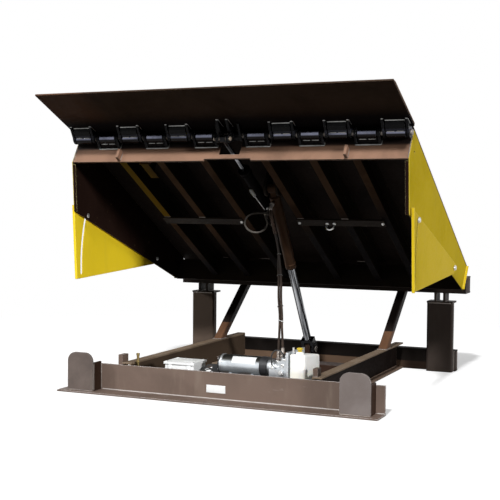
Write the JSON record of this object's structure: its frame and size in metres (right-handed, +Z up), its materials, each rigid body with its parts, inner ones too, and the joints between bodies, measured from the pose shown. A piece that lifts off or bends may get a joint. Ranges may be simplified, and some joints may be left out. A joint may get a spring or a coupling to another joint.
{
  "type": "hydraulic dock leveler",
  "caption": "Pit-mounted hydraulic dock leveler with a hinged deck, swing-out lip, folding yellow toe guards, base frame and power unit, shown raised.",
  "frame": {"origin": "on the floor, at the middle of the front sill's foot", "axes": "+X to the right seen from the truck side, +Y into the building, +Z up"},
  "size_m": [1.869, 1.7449, 1.5033],
  "materials": {
    "frame_paint": "taupe brown paint, worn at the edges",
    "deck_paint": "dark brown paint",
    "guard_paint": "safety yellow paint",
    "black_paint": "glossy black paint",
    "zinc_steel": "zinc-plated",
    "chrome_rod": "polished chrome",
    "cast_aluminium": "cast and machined",
    "white_plastic": "smooth white",
    "yellow_plastic": "smooth yellow",
    "latch_brass": "yellow passivated",
    "hose_rubber": "black hose cover"
  },
  "bodies": {
    "frame": {"front_sill": "frame_paint", "keeper_plates": "frame_paint", "keeper_gussets": "frame_paint", "deck_stops": "frame_paint", "side_channel_left": "frame_paint", "side_channel_right": "frame_paint", "rear_base_channel": "frame_paint", "rear_post_left": "frame_paint", "rear_post_right": "frame_paint", "post_caps": "frame_paint", "beam_lugs": "frame_paint", "rear_hinge_beam": "frame_paint", "rear_curb_angle": "frame_paint", "brace_left": "frame_paint", "brace_right": "frame_paint", "rear_hinge_sockets": "frame_paint", "rear_hinge_pin": "zinc_steel", "cylinder_foot": "frame_paint", "power_unit_shelf": "frame_paint", "pump_motor": "cast_aluminium", "motor_end_bell": "black_paint", "hydraulic_pump": "cast_aluminium", "valve_block": "cast_aluminium", "reservoir": "white_plastic", "filler_cap": "yellow_plastic", "tank_breather": "zinc_steel", "control_box": "white_plastic", "control_box_lid": "white_plastic", "latch_pin": "latch_brass", "lift_hose": "hose_rubber", "lip_hose": "hose_rubber"},
    "deck": {"deck_plate": "deck_paint", "deck_header": "deck_paint", "deck_rear_plate": "deck_paint", "deck_beams": "deck_paint", "beam_cross_bar": "deck_paint", "deck_knuckles": "black_paint", "lip_hinge_pin": "zinc_steel", "side_panel_left": "guard_paint", "side_panel_right": "guard_paint", "guard_bolts": "zinc_steel", "rear_hinge_knuckles": "deck_paint", "lift_bracket": "deck_paint", "lip_ram_barrel": "black_paint"},
    "lip": {"lip_plate": "deck_paint", "lip_knuckles": "black_paint", "lip_lever": "black_paint"},
    "toe_guard_left": {"toe_guard_left": "guard_paint"},
    "toe_guard_right": {"toe_guard_right": "guard_paint"},
    "lift_barrel": {"lift_barrel": "black_paint"},
    "lift_rod": {"lift_rod": "chrome_rod"},
    "lip_ram_rod": {"lip_ram_rod": "chrome_rod"}
  },
  "joints": [
    {"name": "deck_hinge", "type": "hinge", "parent": "frame", "child": "deck", "pos_m": [0, 1.475, 0.58], "axis": [-1, 0, 0], "range_deg": [-30, 0], "deforming": ["lift_hose", "lip_hose"]},
    {"name": "lip_hinge", "type": "hinge", "parent": "deck", "child": "lip", "pos_m": [0, 0.20187, 1.29888], "axis": [-1, 0, 0], "range_deg": [-90, 0]},
    {"name": "toe_guard_left_swing", "type": "hinge", "parent": "deck", "child": "toe_guard_left", "pos_m": [-0.921, 1.09256, 0.6276], "axis": [-1, 0, 0], "range_deg": [0, 12]},
    {"name": "toe_guard_right_swing", "type": "hinge", "parent": "deck", "child": "toe_guard_right", "pos_m": [0.921, 1.09256, 0.6276], "axis": [-1, 0, 0], "range_deg": [0, 12]},
    {"name": "lift_barrel_swing", "type": "hinge", "parent": "deck", "child": "lift_barrel", "pos_m": [0.08, 0.55449, 1.04564], "axis": [-1, 0, 0], "range_deg": [0, 2.05]},
    {"name": "lift_rod_slide", "type": "slide", "parent": "lift_barrel", "child": "lift_rod", "axis": [0, 0.5361, -0.8442], "range_m": [-0.28984, 0]},
    {"name": "lip_ram_slide", "type": "slide", "parent": "deck", "child": "lip_ram_rod", "axis": [0, -0.866, 0.5], "range_m": [-0.0941, 0]}
  ],
  "couplings": [
    {"joint": "toe_guard_left_swing", "follows": "deck_hinge", "ratio": -0.4},
    {"joint": "toe_guard_right_swing", "follows": "deck_hinge", "ratio": -0.4},
    {"joint": "lift_barrel_swing", "follows": "deck_hinge", "ratio": -0.068255},
    {"joint": "lift_rod_slide", "follows": "deck_hinge", "m_per_rad": 0.55337},
    {"joint": "lip_ram_slide", "follows": "lip_hinge", "m_per_rad": 0.059842}
  ]
}
